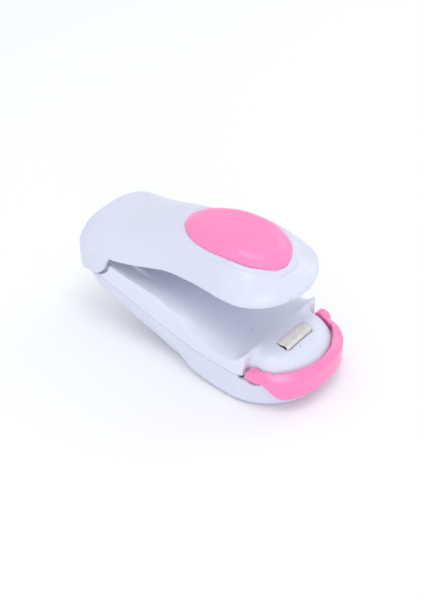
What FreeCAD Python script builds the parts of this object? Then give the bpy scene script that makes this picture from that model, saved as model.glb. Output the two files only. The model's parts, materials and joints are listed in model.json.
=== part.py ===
import FreeCAD, Part
import math
import os
import Sketcher

# Handheld bag heat sealer, in millimetres.
# +X points to the sealing nose, +Y to the left, +Z up; the base stands on Z = 0.

SIZES = [
    # alias, value, what it is
    ("body_length", 95.5, "rear of the lever to the front of the bail"),
    ("lever_width", 38.6, "widest place of the lever"),
    ("base_width", 41.2, "widest place of the base"),
    ("wall", 1.5, "wall of the moulded shells"),
    ("part_gap", 0.3, "air between pieces that move past each other"),
    ("run_gap", 0.05, "radial clearance of a running fit"),
    ("slip_gap", 0.15, "clearance of a piece that drops into its seat"),
    ("hinge_setback", 10.9, "hinge axis ahead of the rear end"),
    ("hinge_height", 28.3, "hinge axis above the table"),
    ("ear_radius", 6.7, "round end of the lever's ears"),
    ("ear_thickness", 2.6, "lever ear, across"),
    ("ear_gap", 1.0, "air round the edge of the ear"),
    ("pin_radius", 1.25, "steel hinge pin"),
    ("pin_bite", 1.6, "length of pin held in each ear"),
    ("boss_radius", 2.4, "hinge boss of the base"),
    ("boss_length", 5.0, "hinge boss of the base, along the pin"),
    ("closing_angle", 14.5, "turn of the lever from open to closed, degrees"),
    ("lever_setback", 9.8, "lever nose behind the bail's front"),
    ("lever_crown", 48.8, "highest place of the lever"),
    ("lever_nose_rim", 36.7, "lower edge of the lever at its nose"),
    ("lever_rear_rim", 29.9, "lower edge of the lever ahead of the ears"),
    ("nose_band", 2.3, "upright band of the lever's nose"),
    ("roof", 2.8, "lever roof where the thumb pad sits"),
    ("nose_roof", 1.1, "lever roof at the nose"),
    ("pad_length", 37.8, "thumb pad, along"),
    ("pad_width", 23.7, "thumb pad, across"),
    ("pad_front", 7.9, "thumb pad's tip behind the lever's nose"),
    ("pad_rise", 1.8, "thumb pad above the lever's roof"),
    ("pad_seat", 1.2, "depth of the thumb pad's seat"),
    ("ring_width", 2.1, "sunk ring round the thumb pad"),
    ("ring_depth", 0.5, "depth of that ring"),
    ("bail_depth", 3.1, "bail in front of the nose"),
    ("bail_top", 14.4, "upper inner edge of the bail"),
    ("bail_bottom", 5.5, "lower edge of the bail at the front"),
    ("bail_bevel", 2.0, "fall of the bail's upper face"),
    ("bail_gap", 0.4, "air between bail and nose"),
    ("bail_axis_setback", 15.5, "bail axis behind the bail's front"),
    ("bail_axis_height", 11.9, "bail axis above the table"),
    ("bail_peg_radius", 1.1, "pegs that carry the bail"),
    ("bail_peg_length", 2.0, "pegs that carry the bail"),
    ("heel_radius", 2.7, "round heels of the bail's arms"),
    ("heel_depth", 1.6, "round heels, across"),
    ("heel_gap", 0.9, "air round the heels"),
    ("arm_foot", 10.9, "underside of the bail's arms"),
    ("nose_pad_width", 34.4, "nose of the deck, across"),
    ("step_setback", 18.7, "shoulder step behind the bail's front"),
    ("ledge_height", 10.6, "joint of the shells at the nose"),
    ("nose_edge", 12.6, "upper edge of the deck's nose"),
    ("hump_length", 23.1, "raised middle of the deck, ahead of the hinge"),
    ("hump_slope", 12.0, "length over which the raised middle runs out"),
    ("hump_width", 22.6, "raised middle of the deck, across"),
    ("ledge_drop", 0.1, "ledge beside the nose below that joint"),
    ("foot_cut", 0.6, "cut off the rounded underside to make the flat foot"),
    ("lever_nose_reach", 15.6, "round nose of the lever, along"),
    ("base_nose_reach", 23.1, "round nose of the base, back from the bail's front"),
    ("pad_nose_reach", 17.0, "round nose of the deck, back from the bail's front"),
    ("post_radius", 2.4, "screw posts inside the base"),
    ("heater_setback", 13.2, "heater centre behind the bail's front"),
    ("heater_width", 3.2, "heater block, along the body"),
    ("heater_length", 12.4, "heater block, across the body"),
    ("heater_top", 18.0, "top of the heater block"),
    ("heater_depth", 6.0, "height of the heater block"),
    ("ribbon_thickness", 0.15, "heating ribbon"),
    ("ribbon_width", 2.4, "heating ribbon"),
    ("cloth_thickness", 0.3, "glass cloth over the heater"),
    ("press_thickness", 1.3, "silicone press pad"),
    ("press_width", 3.0, "silicone press pad, along the body"),
    ("press_length", 12.4, "silicone press pad, across the body"),
    ("liner_thickness", 1.0, "carrier of the press pad"),
    ("liner_reach", 9.6, "carrier of the press pad, along the body"),
    ("liner_screw_radius", 1.0, "screws of the press pad's carrier"),
    ("battery_radius", 7.25, "AA cell"),
    ("battery_length", 49.2, "AA cell without its nub"),
    ("nub_radius", 2.6, "AA cell's nub"),
    ("nub_length", 1.3, "AA cell's nub"),
    ("battery_tilt", 9.3, "slope of the cells, degrees"),
    ("battery_spread", 7.6, "cell axis beside the middle"),
    ("battery_middle", -4.25, "middle of the cells along the body"),
    ("battery_height", 13.3, "middle of the cells above the table"),
    ("contact_thickness", 0.4, "sheet of the contacts"),
    ("contact_height", 10.0, "contacts, upright"),
    ("contact_width", 10.4, "single contact, across"),
    ("coil_foot", 4.0, "wide end of the conical contact coils, radius"),
    ("coil_tip", 1.8, "narrow end of the contact coils, radius"),
    ("coil_wire", 0.3, "radius of the contact coils' wire"),
    ("coil_turns", 2.25, "turns of the contact coils"),
    ("leaf_width", 3.0, "switch leaves"),
    ("leaf_length", 26.0, "switch leaves"),
    ("leaf_gap", 1.2, "air between the switch leaves"),
    ("leaf_rise", 4.6, "lower switch leaf above the cells' axes"),
    ("plunger_at", 4.75, "switch plunger along the body"),
    ("plunger_radius", 1.5, "switch plunger"),
    ("plunger_rise", 2.0, "switch plunger above the deck"),
    ("plunger_travel", 0.9, "switch plunger's stroke"),
    ("spring_at", -18.25, "return spring along the body"),
    ("spring_radius", 3.4, "return spring, to the wire's centre"),
    ("spring_wire", 0.35, "radius of the return spring's wire"),
    ("spring_turns", 6.0, "turns of the return spring"),
    ("spring_seat", 38.6, "upper seat of the return spring"),
    ("spring_cup", 26.6, "lower seat of the return spring"),
    ("leaf_thickness", 0.3, "switch leaves"),
    ("terminal_thickness", 0.5, "heater terminals"),
    ("cover_front", 18.75, "battery cover's front edge"),
    ("cover_rear", -36.25, "battery cover's rear edge"),
    ("cover_width", 24.4, "battery cover, across"),
    ("cover_wall", 1.75, "battery cover's inside above the rounded underside"),
    ("cover_lift", 0.25, "battery cover above the table"),
    ("wire_radius", 0.5, "insulated wires"),
    ("screw_radius", 1.1, "case screws"),
    ("screw_head", 2.0, "case screw heads"),
    ("screw_head_height", 1.4, "case screw heads"),
    ("screw_seat", 2.7, "seat of the case screw heads above the table"),
    ("screw_reach", 11.5, "case screws above that seat"),
]

V = FreeCAD.Vector
Y_AXIS = V(0, 1, 0)

doc = FreeCAD.newDocument("bag_sealer")
sheet = doc.addObject("Spreadsheet::Sheet", "Sizes")
for row, (alias, value, note) in enumerate(SIZES, start=1):
    sheet.set("A%d" % row, note)
    sheet.set("B%d" % row, str(value))
    sheet.setAlias("B%d" % row, alias)
doc.recompute()


def size(alias):
    return float(sheet.get(alias))


# ---------------------------------------------------------------- shared places

REAR = -size("body_length") / 2
FRONT = size("body_length") / 2
HINGE = V(REAR + size("hinge_setback"), 0, size("hinge_height"))
LEVER_NOSE = FRONT - size("lever_setback")
TUB_NOSE = FRONT - size("bail_depth")
STEP = FRONT - size("step_setback")
BAIL_AXIS = V(FRONT - size("bail_axis_setback"), 0, size("bail_axis_height"))
HEATER = FRONT - size("heater_setback")
WALL = size("wall")
GAP = size("part_gap")
HIGH = 80.0
WIDE = max(size("lever_width"), size("base_width")) + 0.8
LEVER_HALF = size("lever_width") / 2
EAR_SHARE = 0.953
EAR_INNER = LEVER_HALF * EAR_SHARE - size("ear_thickness")
BOSS_SIDE = EAR_INNER - 2 * GAP
OPEN_TURN = FreeCAD.Placement(V(0, 0, 0), FreeCAD.Rotation(Y_AXIS, -size("closing_angle")), HINGE)
CELLS = FreeCAD.Placement(V(size("battery_middle"), 0, size("battery_height")),
                          FreeCAD.Rotation(Y_AXIS, size("battery_tilt")))


def along(share):
    """Place along the body: 0 at the rear end, 1 at the bail's front."""
    return REAR + share * size("body_length")


# ---------------------------------------------------------------- curves and fields

def smooth(stations, x):
    """Smooth curve through (x, value) stations, level beyond its ends."""
    if x <= stations[0][0]:
        return stations[0][1]
    if x >= stations[-1][0]:
        return stations[-1][1]
    count = len(stations)
    slopes = [0.0] * count
    for i in range(1, count - 1):
        before = (stations[i][1] - stations[i - 1][1]) / (stations[i][0] - stations[i - 1][0])
        after = (stations[i + 1][1] - stations[i][1]) / (stations[i + 1][0] - stations[i][0])
        if before * after > 0:
            slopes[i] = 2 * before * after / (before + after)
    i = 0
    while x > stations[i + 1][0]:
        i += 1
    x0, y0 = stations[i]
    x1, y1 = stations[i + 1]
    span = x1 - x0
    u = (x - x0) / span
    return (y0 * (2 * u**3 - 3 * u**2 + 1) + slopes[i] * span * (u**3 - 2 * u**2 + u)
            + y1 * (3 * u**2 - 2 * u**3) + slopes[i + 1] * span * (u**3 - u**2))


def swell(gauge, power):
    """gauge to a power inside the outline, going on straight and then level outside it."""
    if gauge <= 1:
        return gauge ** power
    return 1 + power * (min(gauge, 1.25) - 1)


class Plan:
    """Outline seen from above: a rear cap, sides through stations and a nose cap."""

    def __init__(self, rear, rear_middle, nose_middle, nose, stations, rear_power, nose_power):
        self.rear = rear
        self.rear_middle = rear_middle
        self.nose_middle = nose_middle
        self.nose = nose
        self.stations = stations
        self.rear_power = rear_power
        self.nose_power = nose_power

    def half_width(self, x):
        return smooth(self.stations, x)

    def caps(self):
        rear = (self.rear_middle, self.rear_middle - self.rear, self.half_width(self.rear_middle),
                self.rear_power)
        nose = (self.nose_middle, self.nose - self.nose_middle, self.half_width(self.nose_middle),
                self.nose_power)
        return rear, nose

    def gauge(self, x, y):
        """0 on the middle line, 1 on the outline."""
        rear, nose = self.caps()
        if x < self.rear_middle:
            middle, reach, width, power = rear
        elif x > self.nose_middle:
            middle, reach, width, power = nose
        else:
            return abs(y) / self.half_width(x)
        return ((abs(x - middle) / reach) ** power + (abs(y) / width) ** power) ** (1 / power)

    def grown(self, x, y, inset):
        """The point that moves onto (x, y) when the outline shrinks by inset."""
        rear, nose = self.caps()
        if x < self.rear_middle:
            x = rear[0] + (x - rear[0]) * rear[1] / (rear[1] - inset)
            y = y * rear[2] / (rear[2] - inset)
        elif x > self.nose_middle:
            x = nose[0] + (x - nose[0]) * nose[1] / (nose[1] - inset)
            y = y * nose[2] / (nose[2] - inset)
        else:
            width = self.half_width(x)
            y = y * width / (width - inset)
        return x, y

    def points(self, inset=0.0):
        steps = 14
        points = []
        for cap, start in ((self.caps()[1], -90.0), (self.caps()[0], 90.0)):
            middle, reach, width, power = cap
            for i in range(steps):
                angle = math.radians(start + 180.0 * i / steps)
                c, s = math.cos(angle), math.sin(angle)
                radius = ((abs(c) / reach) ** power + (abs(s) / width) ** power) ** (-1 / power)
                points.append(V(middle + radius * c, radius * s, 0))
            side = 1 if start < 0 else -1
            ends = (self.nose_middle, self.rear_middle)
            first, last = ends if side > 0 else ends[::-1]
            for i in range(steps):
                x = first + (last - first) * i / steps
                points.append(V(x, side * self.half_width(x), 0))
        moved = []
        for i, point in enumerate(points):
            along_edge = points[(i + 1) % len(points)] - points[i - 1]
            inward = V(-along_edge.y, along_edge.x, 0).normalize()
            moved.append(point + inward * inset)
        return moved

    def prism(self, inset=0.0, low=0.0, high=HIGH):
        curve = Part.BSplineCurve()
        curve.interpolate(self.points(inset), PeriodicFlag=True)
        face = Part.Face(Part.Wire(curve.toShape()))
        face.translate(V(0, 0, low))
        return face.extrude(V(0, 0, high - low))


def field(height, first, last, rise):
    """Solid between the surface z = height(x, y) and its copy moved by rise."""
    columns = int((last - first) / 2.8)
    rows = 18
    half = WIDE * 0.56
    grid = []
    for i in range(columns + 1):
        x = first + (last - first) * i / columns
        grid.append([V(x, y, height(x, y)) for y in [half * (2 * j / rows - 1) for j in range(rows + 1)]])
    surface = Part.BSplineSurface()
    surface.interpolate(grid)
    return surface.toShape().extrude(V(0, 0, rise))


def profile_prism(edges, half=HIGH):
    """Solid of a closed side view (edges at y = 0) that reaches half to each side."""
    wire = Part.Wire(Part.__sortEdges__(edges))
    face = Part.Face(wire)
    face.translate(V(0, -half, 0))
    return face.extrude(V(0, 2 * half, 0))


def polyline(points):
    return [Part.LineSegment(a, b).toShape() for a, b in zip(points, points[1:])]


def spline(points):
    curve = Part.BSplineCurve()
    curve.interpolate(points)
    return curve.toShape()


def box(x0, x1, y0, y1, z0, z1):
    return Part.makeBox(x1 - x0, y1 - y0, z1 - z0, V(x0, y0, z0))


def rod(radius, y0, y1, x, z):
    return Part.makeCylinder(radius, y1 - y0, V(x, y0, z), Y_AXIS)


def carve(shape, tools):
    for tool in tools:
        shape = shape.cut(tool)
    return shape


def both_sides(shape):
    return [shape, shape.mirror(V(0, 0, 0), Y_AXIS)]


# ---------------------------------------------------------------- shapes of the shells

lever_plan = Plan(
    rear=REAR, rear_middle=along(0.152), nose_middle=LEVER_NOSE - size("lever_nose_reach"), nose=LEVER_NOSE,
    stations=[(along(share), LEVER_HALF * width) for share, width in (
        (0.152, EAR_SHARE), (0.324, 0.845), (0.432, 0.775), (0.539, 0.839), (0.626, 0.922), (0.717, 1.0))],
    rear_power=3.0, nose_power=2.0)

BASE_HALF = size("base_width") / 2
base_plan = Plan(
    rear=REAR + 3.5, rear_middle=along(0.162), nose_middle=FRONT - size("base_nose_reach"), nose=TUB_NOSE,
    stations=[(along(share), BASE_HALF * width) for share, width in (
        (0.162, 0.84), (0.282, 0.85), (0.385, 0.865), (0.488, 0.89), (0.59, 0.945), (0.703, 0.985),
        (0.758, 1.0))],
    rear_power=3.0, nose_power=2.0)

nose_plan = Plan(
    rear=0.0, rear_middle=8.0, nose_middle=FRONT - size("pad_nose_reach"), nose=TUB_NOSE - 0.2,
    stations=[(8.0, size("nose_pad_width") / 2), (FRONT - size("pad_nose_reach"), size("nose_pad_width") / 2)],
    rear_power=2.0, nose_power=2.1)

bail_plan = Plan(
    rear=-10.0, rear_middle=0.0, nose_middle=FRONT - size("base_nose_reach"), nose=FRONT,
    stations=[(0.0, BASE_HALF + 0.3), (FRONT - size("base_nose_reach"), BASE_HALF + 0.3)],
    rear_power=2.0, nose_power=2.6)

PAD_TIP = LEVER_NOSE - size("pad_front")
PAD_REAR = PAD_TIP - size("pad_length")
pad_plan = Plan(
    rear=PAD_REAR, rear_middle=PAD_REAR + size("pad_length") * 0.54,
    nose_middle=PAD_REAR + size("pad_length") * 0.56, nose=PAD_TIP,
    stations=[(PAD_REAR + size("pad_length") * 0.54, size("pad_width") / 2),
              (PAD_REAR + size("pad_length") * 0.56, size("pad_width") / 2)],
    rear_power=2.1, nose_power=2.2)


def rim(x):
    """Lower edge of the lever, ahead of its ears."""
    rise = size("lever_nose_rim") - size("lever_rear_rim")
    return size("lever_rear_rim") + rise * smooth(
        [(along(0.2), 0.0), (along(0.446), 0.52), (along(0.631), 0.88), (along(0.764), 1.0)], x)


def lever_edge(x):
    """Height where the lever's upright band turns into its flank."""
    crown = size("lever_crown")
    return smooth([(REAR, crown - 19.2), (along(0.19), crown - 18.0), (along(0.313), crown - 17.0),
                   (along(0.446), crown - 14.3), (along(0.621), crown - 11.1),
                   (along(0.764), size("lever_nose_rim") + size("nose_band"))], x)


def lever_top(x, y):
    crown = size("lever_crown")
    ridge = smooth([(REAR, crown - 11.6), (along(0.152), crown - 10.0), (along(0.324), crown - 4.7),
                    (along(0.41), crown - 2.1), (along(0.497), crown - 0.9), (along(0.58), crown),
                    (along(0.672), crown), (along(0.766), crown - 1.5)], x)
    power = smooth([(REAR, 7.0), (along(0.21), 4.7), (along(0.364), 4.2), (along(0.58), 5.0),
                    (along(0.672), 4.2), (along(0.766), 2.9), (along(0.826), 1.2)], x)
    edge = lever_edge(x)
    return edge + (ridge - edge) * (1 - swell(lever_plan.gauge(x, y), power))


def lever_ceiling(x, y):
    roof = smooth([(along(0.344), WALL), (along(0.395), size("roof")), (along(0.744), size("roof")),
                   (along(0.826), size("nose_roof"))], x)
    return lever_top(*lever_plan.grown(x, y, WALL)) - roof


def hull(x, y):
    """Underside of the base: flat in front, rising to the rear, with rounded lower edges."""
    keel = smooth([(REAR + 2.5, 17.0), (REAR + 5.2, 15.0), (REAR + 11.5, 11.2), (REAR + 23.5, 6.0),
                   (REAR + 35.5, 1.9), (REAR + 44.5, -size("foot_cut"))], x)
    edge = smooth([(REAR, 23.6), (along(0.12), 20.0), (along(0.246), 16.6), (along(0.372), 12.9),
                   (along(0.476), 8.4), (along(0.56), 3.4), (along(0.644), 1.4), (along(0.728), 1.0)], x)
    return keel + (edge - keel) * swell(base_plan.gauge(x, y), 7)


def joint(x):
    """Height of the joint between tub and deck."""
    low = size("ledge_height")
    return smooth([(REAR, low + 14.4), (along(0.118), low + 11.0), (along(0.251), low + 7.0),
                   (along(0.416), low + 2.7), (along(0.56), low + 0.6), (along(0.68), low)], x)


def deck(x, y):
    middle = smooth([(REAR + 5.0, 30.0), (HINGE.x, 29.6), (HINGE.x + 7.6, 27.3), (along(0.277), 25.3),
                     (along(0.364), 23.9), (along(0.518), 22.1), (along(0.641), 19.9),
                     (along(0.770), 18.3)], x)
    border = smooth([(REAR + 5.0, 26.6), (HINGE.x + 7.6, 26.4), (along(0.277), 25.0),
                     (along(0.385), 23.8), (along(0.451), 22.2), (along(0.518), 19.3),
                     (along(0.580), 17.0), (along(0.693), 15.0), (STEP - 4.5, 15.3), (STEP, 19.0)], x)
    return middle + (border - middle) * swell(base_plan.gauge(x, y), 3)


def nose_deck(x, y):
    top = smooth([(STEP, 18.0), (HEATER - 2.8, 17.9), (HEATER + 2.8, 16.9), (TUB_NOSE, 14.9)], x)
    return top - (top - size("nose_edge")) * swell(nose_plan.gauge(x, y), 7)


def tail_clear(margin):
    """Space of the lever's tail and ears, which the base stays out of."""
    side = BOSS_SIDE - margin
    radius = size("ear_radius") + size("ear_gap") + margin
    low = HINGE.z - radius - 0.5
    tail = HINGE.x - 3.2 + margin
    shapes = [box(REAR - 20, tail, -WIDE, WIDE, low - 0.5, HIGH)]
    ear = Part.makeCylinder(radius, WIDE, V(HINGE.x, side, HINGE.z), Y_AXIS)
    behind = box(REAR - 20, HINGE.x, side, side + WIDE, low, HIGH)
    for shape in (ear, behind):
        shapes += both_sides(shape)
    return shapes[0].multiFuse(shapes[1:])


def base_space(inset):
    """The base as a full body, shrunk by inset; with no inset it is the outer form."""
    def low(x, y):
        return hull(*base_plan.grown(x, y, inset)) + inset

    def high(x, y):
        return deck(*base_plan.grown(x, y, inset)) - inset

    def nose_high(x, y):
        return nose_deck(*nose_plan.grown(x, y, inset)) - inset

    first, last = REAR - 4.0, FRONT + 4.0
    step = STEP - inset
    main = field(high, first, last, -HIGH).common(box(first, step, -WIDE, WIDE, -HIGH, HIGH))
    nose = field(nose_high, 8.0, last, -HIGH).common(nose_plan.prism(inset, -HIGH))
    nose = nose.common(box(step, last, -WIDE, WIDE, -HIGH, HIGH))
    toe = box(step, last, -WIDE, WIDE, -HIGH, size("ledge_height") - size("ledge_drop") - inset)
    roof = main.fuse([nose, toe])
    form = base_plan.prism(inset, inset).common(field(low, first, last, HIGH))
    return form.common(roof).cut(tail_clear(inset))


def below_joint():
    points = [V(x, 0, joint(x)) for x in [REAR - 4 + i * (FRONT + 8 - REAR) / 12 for i in range(13)]]
    edges = [spline(points)]
    edges += polyline([points[-1], V(points[-1].x, 0, -5), V(points[0].x, 0, -5), points[0]])
    return profile_prism(edges)


NODES = []


def add(label, shape, placement=None):
    """A sub-part whose form is a computed shape."""
    if len(shape.Solids) == 1:
        shape = shape.Solids[0]
    feature = doc.addObject("Part::Feature", label)
    feature.Label = label
    feature.Shape = shape
    if placement is not None:
        feature.Placement = placement
    NODES.append(feature)
    return feature


# ---------------------------------------------------------------- base body

def cover_band(low, high, margin):
    """Part of the underside between two heights above its surface, as wide as the battery cover."""
    half = size("cover_width") / 2 + margin
    area = box(size("cover_rear") - margin, size("cover_front") + margin, -half, half, -HIGH, HIGH)
    first, last = size("cover_rear") - 4, size("cover_front") + 4
    lower = field(lambda x, y: hull(x, y) + low, first, last, HIGH)
    upper = field(lambda x, y: hull(x, y) + high, first, last, -HIGH)
    return area.common(lower).common(upper)


def cell_box(x0, x1, y0, y1, z0, z1):
    """A box that lies in the frame of the tilted cells."""
    shape = box(x0, x1, y0, y1, z0, z1)
    shape.Placement = CELLS
    return shape


def cell_end():
    return size("battery_length") / 2 + size("nub_length")


def bail_notches():
    """Round pockets and slots in the base's sides for the bail's heels."""
    side = size("nose_pad_width") / 2 - size("slip_gap")
    radius = size("heel_radius") + size("heel_gap")
    front = BAIL_AXIS.x + size("heel_radius") + 1.0
    low = size("ledge_height") - 1.2
    high = size("arm_foot")
    return [rod(radius, side, WIDE, BAIL_AXIS.x, BAIL_AXIS.z), rod(radius, -WIDE, -side, BAIL_AXIS.x, BAIL_AXIS.z),
            box(STEP - 2.2, front, side, WIDE, low, high), box(STEP - 2.2, front, -WIDE, -side, low, high)]


def make_tub(shell, inner):
    tub = shell.common(below_joint())
    tub = tub.cut(cover_band(-5.0, WALL + 3.0, size("slip_gap")))
    tub = carve(tub, bail_notches())
    end = cell_end() + size("contact_thickness") + 0.2
    ribs = [cell_box(end, end + WALL, -14.4, 14.4, -9.0, 5.0),
            cell_box(-end - WALL, -end, -14.4, 14.4, -9.0, 5.0)]
    block = size("heater_width") / 2
    ribs.append(box(HEATER - block, HEATER + block, -size("heater_length") / 2 + 1,
                    size("heater_length") / 2 - 1, 0.5, size("heater_top") - size("heater_depth")))
    for x, y in SCREWS:
        ribs.append(Part.makeCylinder(size("post_radius"), size("ledge_height"), V(x, y, SCREW_FOOT)))
    inside = inner.fuse(shell).common(below_joint())
    ribs = ribs[0].multiFuse(ribs[1:]).common(inside)
    ribs = ribs.cut(cover_band(-5.0, size("cover_wall") + GAP, GAP))
    tub = tub.fuse(ribs)
    for x, y in SCREWS:
        tub = tub.cut(Part.makeCylinder(size("screw_radius"), 40, V(x, y, -1)))
        tub = tub.cut(Part.makeCylinder(size("screw_head") + 0.1, size("screw_seat") + 1, V(x, y, -1)))
    return tub


def make_deck(shell, inner):
    plate = shell.cut(below_joint())
    plate = carve(plate, bail_notches())
    bosses = both_sides(rod(size("boss_radius"), BOSS_SIDE - size("boss_length"), BOSS_SIDE, HINGE.x, HINGE.z))
    hump = HINGE.x + size("hump_length")
    side = size("hump_width") / 2
    raised = field(lambda x, y: deck(x, y) + min(1.0, (hump - x) / size("hump_slope")), REAR, hump + 20, -HIGH).common(
        box(HINGE.x + 1.0, hump, -side, side, 20.5, HIGH)).cut(inner)
    above = box(REAR, FRONT, -WIDE, WIDE, size("ledge_height"), HIGH)
    bosses.append(raised)
    cup = Part.makeCylinder(size("spring_radius") + 1.2, 6, V(size("spring_at"), 0, size("spring_cup") - 6))
    core = Part.makeCylinder(size("spring_radius") - 1.0, 8, V(size("spring_at"), 0, size("spring_cup") - 6))
    bosses += [cup.cut(inner), core.cut(inner)]
    leaf_top = size("leaf_rise") + 2 * size("leaf_thickness") + size("leaf_gap")
    clamp = cell_box(22.5, 25.5, -1.4, 1.4, leaf_top, leaf_top + 3)
    bosses.append(clamp.common(inner.fuse(shell)))
    for x, y in SCREWS:
        post = Part.makeCylinder(size("post_radius"), 20, V(x, y, size("ledge_height")))
        bosses.append(post.common(inner.fuse(shell)).common(above).cut(below_joint()))
    plate = plate.fuse(bosses)
    cuts = [rod(size("pin_radius") + size("run_gap"), -WIDE, WIDE, HINGE.x, HINGE.z)]
    cuts.append(Part.makeCylinder(size("plunger_radius") + size("slip_gap"), 30, V(size("plunger_at"), 0, 15)))
    window = size("heater_width") / 2 + 2 * GAP
    reach = size("heater_length") / 2 + 2 * GAP
    cuts.append(box(HEATER - window, HEATER + window, -reach, reach, 10, 30))
    cuts.append(rod(size("bail_peg_radius") + size("run_gap"), -WIDE, WIDE, BAIL_AXIS.x, BAIL_AXIS.z))
    for x, y in SCREWS:
        cuts.append(Part.makeCylinder(size("screw_radius"), size("screw_seat") + size("screw_reach"), V(x, y, 0.2)))
    return carve(plate, cuts)


def make_cover():
    lift = size("cover_lift")
    cover = cover_band(lift, size("cover_wall"), 0.0).common(box(-HIGH, HIGH, -WIDE, WIDE, lift, HIGH))
    hook_x = size("cover_front")
    hook = box(hook_x - 2.5, hook_x + 1.2, -3.5, 3.5, WALL + 0.15, WALL + 1.15)
    web = box(hook_x - 2.5, hook_x - 0.6, -3.5, 3.5, lift + 0.5, WALL + 0.6)
    return cover.fuse([hook, web])


# ---------------------------------------------------------------- lever body

def lever_profile():
    """Side view of the lever: everything above its rim, ears and tail."""
    radius = size("ear_radius")
    lip = V(HINGE.x + 8.2, 0, rim(HINGE.x + 8.2))
    turn = [math.radians(a) for a in (-8.0, -50.0, -104.0)]
    arc = [HINGE + V(math.cos(a), 0, math.sin(a)) * radius for a in turn]
    tail = [arc[-1], V(HINGE.x - 5.0, 0, HINGE.z - 6.9), V(REAR + 3.8, 0, HINGE.z - 4.0),
            V(REAR + 1.8, 0, HINGE.z + 0.2), V(REAR + 0.5, 0, HINGE.z + 4.4), V(REAR - 0.3, 0, HINGE.z + 8.6)]
    front = V(LEVER_NOSE + 4, 0, rim(LEVER_NOSE + 4))
    rim_points = [V(x, 0, rim(x)) for x in [lip.x + i * (front.x - lip.x) / 10 for i in range(11)]]
    edges = [spline(rim_points), Part.LineSegment(lip, arc[0]).toShape(), Part.Arc(*arc).toShape(),
             spline(tail)]
    edges += polyline([tail[-1], V(REAR - 3, 0, tail[-1].z), V(REAR - 3, 0, HIGH),
                       V(front.x, 0, HIGH), front])
    return profile_prism(edges)


def lever_cavity():
    tail = [V(HINGE.x - 3.4, 0, HINGE.z - 9.0), V(REAR + 5.6, 0, HINGE.z - 4.0),
            V(REAR + 3.5, 0, HINGE.z + 0.2), V(REAR + 1.9, 0, HINGE.z + 6.0)]
    edges = [spline(tail)]
    edges += polyline([tail[-1], V(tail[-1].x, 0, HIGH), V(HIGH, 0, HIGH), V(HIGH, 0, -5),
                       V(tail[0].x, 0, -5), tail[0]])
    cavity = lever_plan.prism(WALL).common(field(lever_ceiling, REAR - 4, LEVER_NOSE + 4, -HIGH))
    cavity = cavity.common(profile_prism(edges))
    ears = box(REAR - 5, HINGE.x + size("ear_radius") + 1.5, EAR_INNER, WIDE, -5, HIGH)
    return carve(cavity, both_sides(ears))


def closed_pose(shape):
    """Turns a shape that is given where it lies with the lever closed into the open pose."""
    shape.Placement = OPEN_TURN.multiply(shape.Placement)
    return shape


PRESS_FOOT = size("heater_top") + size("ribbon_thickness") + size("cloth_thickness") + GAP
LINER_FOOT = PRESS_FOOT + size("press_thickness")
LINER_BACK = HEATER + size("press_width") / 2 - size("liner_reach")
LINER_SCREWS = [(LINER_BACK + 2.4, 5.5), (LINER_BACK + 2.4, -5.5)]
SCREW_FOOT = size("screw_seat") - size("screw_head_height")
SCREWS = [(STEP - 3.5, 13.4), (STEP - 3.5, -13.4), (TUB_NOSE - 4.9, 4.0), (TUB_NOSE - 4.9, -4.0)]
PAD_LEGS = [(PAD_REAR + 8.0, 5.0), (PAD_REAR + 8.0, -5.0), (PAD_TIP - 11.0, 5.5), (PAD_TIP - 11.0, -5.5)]


def plunger_top():
    return deck(size("plunger_at"), 0) + size("plunger_rise")


def pad_leg(x, y, margin):
    """Snap leg of the thumb pad, through the lever's roof."""
    foot = lever_top(x, y) - size("pad_seat") - 3.0
    return box(x - 1.5 - margin, x + 1.5 + margin, y - 0.7 - margin, y + 0.7 + margin,
               foot - margin, lever_top(x, y) - size("pad_seat") + 0.4)


def make_lever():
    first, last = REAR - 4, LEVER_NOSE + 4
    form = lever_plan.prism().common(field(lever_top, first, last, -HIGH))
    shell = form.common(lever_profile()).cut(lever_cavity())
    spring_x = size("spring_at")
    ribs = [Part.makeCylinder(size("spring_radius") + 1.4, 20, V(spring_x, 0, size("spring_seat"))),
            Part.makeCylinder(size("spring_radius") - 1.0, 20, V(spring_x, 0, size("spring_seat") - 3))]
    push = plunger_top() - size("plunger_travel") + 0.1
    ribs.append(closed_pose(Part.makeCylinder(1.8, 30, V(size("plunger_at"), 0, push))))
    for x, y in LINER_SCREWS:
        foot = LINER_FOOT + size("liner_thickness")
        ribs.append(closed_pose(Part.makeCylinder(2.0, 20, V(x, y, foot))))
    shell = shell.fuse([rib.common(form) for rib in ribs])
    seat = pad_plan.prism(-size("slip_gap")).common(
        field(lambda x, y: lever_top(x, y) - size("pad_seat"), PAD_REAR - 5, PAD_TIP + 5, HIGH))
    ring = pad_plan.prism(-size("ring_width")).common(
        field(lambda x, y: lever_top(x, y) - size("ring_depth"), PAD_REAR - 5, PAD_TIP + 5, HIGH))
    shell = carve(shell, [seat, ring])
    bores = both_sides(rod(size("pin_radius") + size("run_gap"), EAR_INNER - 2,
                           EAR_INNER + size("pin_bite") + 0.1, HINGE.x, HINGE.z))
    slots = [pad_leg(x, y, size("slip_gap")) for x, y in PAD_LEGS]
    holes = [closed_pose(Part.makeCylinder(size("liner_screw_radius") * 0.8, 3.0,
                                           V(x, y, LINER_FOOT))) for x, y in LINER_SCREWS]
    middle = LINER_BACK + size("liner_reach") / 2
    half = size("liner_reach") / 2 + size("slip_gap")
    side = (size("press_length") + 1) / 2 + size("slip_gap")
    pocket = closed_pose(box(middle - half, middle + half, -side, side,
                             PRESS_FOOT - 1, LINER_FOOT + size("liner_thickness")))
    across = size("heater_width") / 2 + size("cloth_thickness") + GAP
    beside = size("heater_length") / 2 + 1.0
    relief = closed_pose(box(HEATER - across, HEATER + across, -beside, beside, PRESS_FOOT - 4, PRESS_FOOT + GAP))
    return carve(shell, bores + slots + holes + [pocket, relief])


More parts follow.
